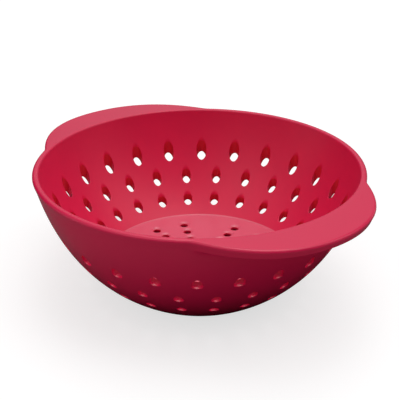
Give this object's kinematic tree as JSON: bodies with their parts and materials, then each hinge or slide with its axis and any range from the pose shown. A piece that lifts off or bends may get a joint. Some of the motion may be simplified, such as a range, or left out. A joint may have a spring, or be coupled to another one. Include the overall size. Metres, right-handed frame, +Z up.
{
  "type": "colander",
  "caption": "Round perforated kitchen bowl with two flat ear handles level with its rim and a raised flat drain plate inside, for rinsing and draining food.",
  "frame": {"origin": "centre of the standing face, on the bowl's axis, at the height of the surface it stands on", "axes": "+Z up along the bowl's axis, +X towards one ear handle, +Y towards the plain rim between the ears"},
  "size_m": [0.2876, 0.2398, 0.0935],
  "materials": {
    "bowl_plastic": "crimson moulded plastic, smooth satin gloss",
    "plate_plastic": "crimson moulded plastic, smooth satin gloss"
  },
  "bodies": {
    "root": {"foot_ring": "bowl_plastic", "bowl_wall": "bowl_plastic", "drain_plate": "plate_plastic", "rim_back": "bowl_plastic", "rim_front": "bowl_plastic", "ear_right": "bowl_plastic", "ear_left": "bowl_plastic"}
  },
  "joints": []
}
